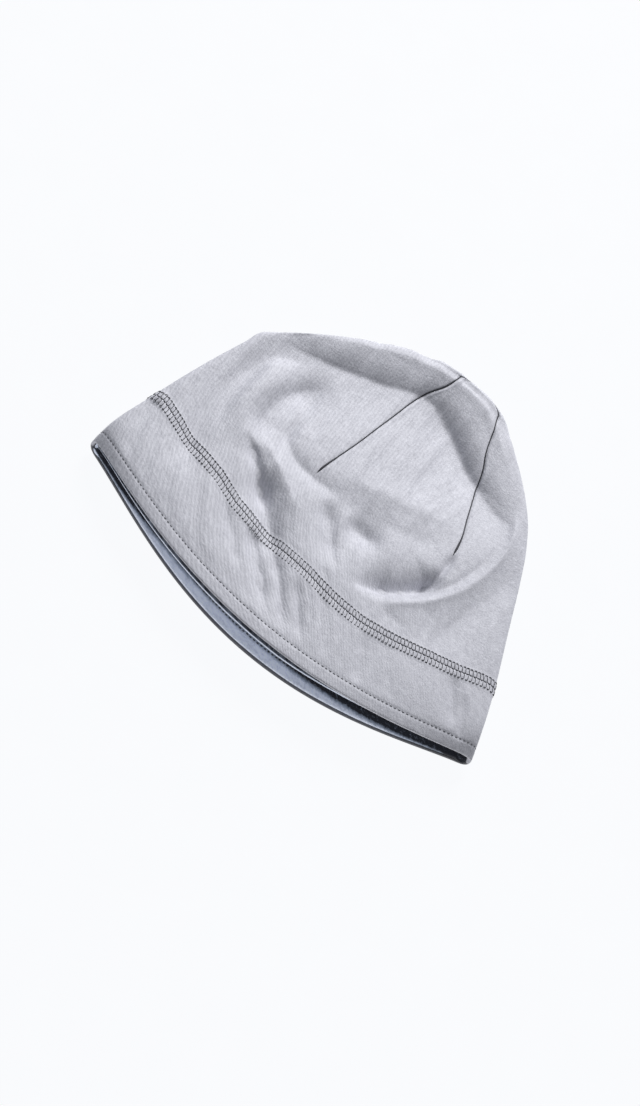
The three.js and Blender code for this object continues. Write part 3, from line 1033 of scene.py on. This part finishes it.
def math_node(nodes, links, operation, first, second):
    node = nodes.new("ShaderNodeMath")
    node.operation = operation
    for socket, value in zip(node.inputs, (first, second)):
        if isinstance(value, float):
            socket.default_value = value
        elif value is not None:
            links.new(value, socket)
    return node.outputs[0]


def sum_of(nodes, links, weighted):
    """The weighted sum of several sockets."""
    total = None
    for socket, weight in weighted:
        part = math_node(nodes, links, "MULTIPLY", socket, weight)
        total = part if total is None else math_node(nodes, links, "ADD", total, part)
    return total


def map_range(nodes, links, value, low, high, to_low=0.0, to_high=1.0):
    """A socket that goes from to_low to to_high as value goes from low to high."""
    node = nodes.new("ShaderNodeMapRange")
    node.inputs["From Min"].default_value = low
    node.inputs["From Max"].default_value = high
    node.inputs["To Min"].default_value = to_low
    node.inputs["To Max"].default_value = to_high
    links.new(value, node.inputs["Value"])
    return node.outputs["Result"]


def ramp_of(nodes, links, socket, stops):
    """A colour ramp through stops of (place, colour)."""
    ramp = nodes.new("ShaderNodeValToRGB")
    elements = ramp.color_ramp.elements
    elements[0].position, elements[0].color = stops[0][0], (*stops[0][1], 1)
    elements[1].position, elements[1].color = stops[-1][0], (*stops[-1][1], 1)
    for place, colour in stops[1:-1]:
        elements.new(place).color = (*colour, 1)
    links.new(socket, ramp.inputs["Fac"])
    return ramp.outputs["Color"]


def add_bump(nodes, links, bsdf, height, distance, strength):
    bump = nodes.new("ShaderNodeBump")
    bump.inputs["Strength"].default_value = strength
    bump.inputs["Distance"].default_value = distance
    links.new(height, bump.inputs["Height"])
    links.new(bump.outputs["Normal"], bsdf.inputs["Normal"])


# The knit's ribs stray sideways by RIB_STRAY radians, and weaken from left to right.
RIB_STRAY = 9.0
RIB_FADE = (0.07, -0.03)
RIB_RANGE = (0.1, 0.5)


def jersey_ribs(nodes, links):
    """The knit's fine ribs along the pulls, clearest on the left half of the hat."""
    across = cloth_parts(nodes, links)["X"]
    stray = streaked_noise(nodes, links, scale=160, stretch=6, detail=1)
    turns = math_node(nodes, links, "MULTIPLY", across, 2 * math.pi / RIB_PITCH)
    turns = math_node(nodes, links, "ADD", turns, math_node(nodes, links, "MULTIPLY", stray, RIB_STRAY))
    wave = math_node(nodes, links, "SINE", turns, None)
    strength = map_range(nodes, links, across, *RIB_FADE, *RIB_RANGE)
    shown = math_node(nodes, links, "MULTIPLY", wave, strength)
    return math_node(nodes, links, "ADD", shown, 0.5)


# Painted shade on the under wall's rim: where it fades in, and its darkest share of the colour.
PAINTED_RIM_SHADE_FADE = (-2.5 * MM, 0.0)
PAINTED_RIM_SHADE_DARKEST = 0.3


def rim_painted_shade(nodes, links, colour):
    """The jersey's colour, darker where the distance from the edge reads below zero: painted shade on the
    under wall's rim.
    """
    edge = cloth_parts(nodes, links)["Z"]
    scaled = nodes.new("ShaderNodeVectorMath")
    scaled.operation = "SCALE"
    links.new(colour, scaled.inputs[0])
    links.new(map_range(nodes, links, edge, *PAINTED_RIM_SHADE_FADE, to_low=PAINTED_RIM_SHADE_DARKEST), scaled.inputs["Scale"])
    return scaled.outputs["Vector"]


def jersey_material():
    material, nodes, links, bsdf = new_material("jersey")
    grain = object_noise(nodes, links, scale=2300, detail=1)
    mottle = object_noise(nodes, links, scale=800, detail=2)
    streak = streaked_noise(nodes, links, scale=1100, stretch=26, detail=1)
    pull = streaked_noise(nodes, links, scale=330, stretch=14, detail=2)
    ribs = jersey_ribs(nodes, links)
    mixed = sum_of(nodes, links, [(grain, 0.36), (mottle, 0.1), (streak, 0.2), (pull, 0.26), (ribs, 0.08)])
    colour = ramp_of(nodes, links, mixed, JERSEY_COLOURS)
    links.new(rim_painted_shade(nodes, links, colour), bsdf.inputs["Base Color"])
    bsdf.inputs["Roughness"].default_value = 0.62
    bsdf.inputs["Specular IOR Level"].default_value = 0.35
    bsdf.inputs["Sheen Weight"].default_value = 0.25
    bsdf.inputs["Sheen Roughness"].default_value = 0.45
    height = sum_of(nodes, links, [(grain, 0.4), (streak, 0.7), (pull, 0.8), (ribs, 0.22)])
    add_bump(nodes, links, bsdf, height, distance=0.35 * MM, strength=0.6)
    return material


# The lining's painted shade, in the measure of the opening's shade, times MM.
LINING_PAINTED_SHADE = (2.8 * MM, 5.4 * MM)


def lining_material():
    material, nodes, links, bsdf = new_material("lining")
    grain = object_noise(nodes, links, scale=1100, detail=3)
    streak = streaked_noise(nodes, links, scale=500, stretch=10, detail=2)
    # Painted shade: the lining's colour darkens deep in the opening, and pale is the share left unshaded.
    depth = map_range(nodes, links, cloth_parts(nodes, links)["Z"], *LINING_PAINTED_SHADE)
    pale = math_node(nodes, links, "SUBTRACT", 1.0, depth)
    mixed = sum_of(nodes, links, [(grain, 0.25), (streak, 0.3), (pale, 0.45)])
    colour = ramp_of(nodes, links, mixed, LINING_AND_SHADE_COLOURS)
    links.new(colour, bsdf.inputs["Base Color"])
    # The lining glows a little: painted light, standing in for daylight that comes through the thin cloth.
    links.new(colour, bsdf.inputs["Emission Color"])
    bsdf.inputs["Emission Strength"].default_value = 0.15
    bsdf.inputs["Roughness"].default_value = 0.85
    bsdf.inputs["Specular IOR Level"].default_value = 0.2
    bsdf.inputs["Sheen Weight"].default_value = 0.2
    height = sum_of(nodes, links, [(grain, 0.6), (streak, 0.6)])
    add_bump(nodes, links, bsdf, height, distance=0.3 * MM, strength=0.6)
    return material


def thread_material():
    material, nodes, links, bsdf = new_material("thread")
    grain = object_noise(nodes, links, scale=3000, detail=2)
    links.new(ramp_of(nodes, links, grain, THREAD_COLOURS), bsdf.inputs["Base Color"])
    bsdf.inputs["Roughness"].default_value = 0.6
    bsdf.inputs["Specular IOR Level"].default_value = 0.3
    add_bump(nodes, links, bsdf, grain, distance=0.1 * MM, strength=0.4)
    return material


# The studio


FLOOR_HALF = 4.0
FLOOR_BELOW = 0.2 * MM
FLOOR_STRENGTH = 0.98
SKY_STRENGTH = 0.18


def floor_material():
    """A pale floor that glows evenly, with hardly any shadow, as in the photo."""
    material, nodes, links, bsdf = new_material("floor")
    grain = object_noise(nodes, links, scale=40, detail=2)
    links.new(ramp_of(nodes, links, grain, FLOOR_COLOURS), bsdf.inputs["Base Color"])
    bsdf.inputs["Roughness"].default_value = 0.9
    bsdf.inputs["Specular IOR Level"].default_value = 0.0
    bsdf.inputs["Emission Color"].default_value = FLOOR_GLOW
    bsdf.inputs["Emission Strength"].default_value = FLOOR_STRENGTH
    return material


def studio_floor():
    mesh = bpy.data.meshes.new("floor")
    corners = [(-1, -1), (1, -1), (1, 1), (-1, 1)]
    points = [(x * FLOOR_HALF, y * FLOOR_HALF, -FLOOR_BELOW) for x, y in corners]
    mesh.from_pydata(points, [], [(0, 1, 2, 3)])
    mesh.materials.append(floor_material())
    floor = bpy.data.objects.new("floor", mesh)
    bpy.context.scene.collection.objects.link(floor)


def area_light(name, direction, distance, size, power, colour):
    light = bpy.data.lights.new(name, "AREA")
    light.shape = "DISK"
    light.size = size
    light.energy = power
    light.color = colour
    lamp = bpy.data.objects.new(name, light)
    away = Vector(direction).normalized()
    lamp.location = away * distance
    lamp.rotation_mode = "QUATERNION"
    lamp.rotation_quaternion = away.to_track_quat("Z", "Y")
    bpy.context.scene.collection.objects.link(lamp)


def studio():
    studio_floor()
    for row in LIGHTS:
        area_light(*row)
    world = bpy.data.worlds.new("studio")
    world.use_nodes = True
    sky = world.node_tree.nodes["Background"]
    sky.inputs["Color"].default_value = SKY_COLOUR
    sky.inputs["Strength"].default_value = SKY_STRENGTH
    bpy.context.scene.world = world
    bpy.context.scene.view_settings.view_transform = "Standard"


def photo_camera():
    """The camera, rolled so that the hat lies aslant as in the photo."""
    tilt, roll = math.radians(CAMERA_ELEVATION), math.radians(CAMERA_ROLL)
    back = Vector((0, -math.cos(tilt), math.sin(tilt)))
    level = Vector((1, 0, 0))
    rise = back.cross(level)
    right = level * math.cos(roll) + rise * math.sin(roll)
    up = rise * math.cos(roll) - level * math.sin(roll)
    data = bpy.data.cameras.new("camera")
    data.lens = CAMERA_LENS
    data.sensor_width = PHOTO_LONG_SIDE_SENSOR
    data.sensor_fit = "AUTO"
    data.clip_start, data.clip_end = 0.05, 20
    camera = bpy.data.objects.new("camera", data)
    place = (Vector(CAMERA_TARGET) + back * CAMERA_DISTANCE) * MM
    turn = Matrix((right, up, back)).transposed().to_4x4()
    camera.matrix_world = Matrix.Translation(place) @ turn
    bpy.context.scene.collection.objects.link(camera)
    bpy.context.scene.camera = camera


def hat():
    jersey, lining, thread = jersey_material(), lining_material(), thread_material()
    crown_mesh(jersey)
    sleeve_mesh("band_jersey", band_profile, jersey, "band", band_bumps, band_painted_shade)
    sleeve_mesh("lining_cloth", lining_profile, lining, "lining", lining_bumps, mouth_painted_shade)
    seam_thread(thread)
    hem_thread(thread)
    lining_thread(thread)
    dart_thread(thread)


photo_camera()
studio()
hat()
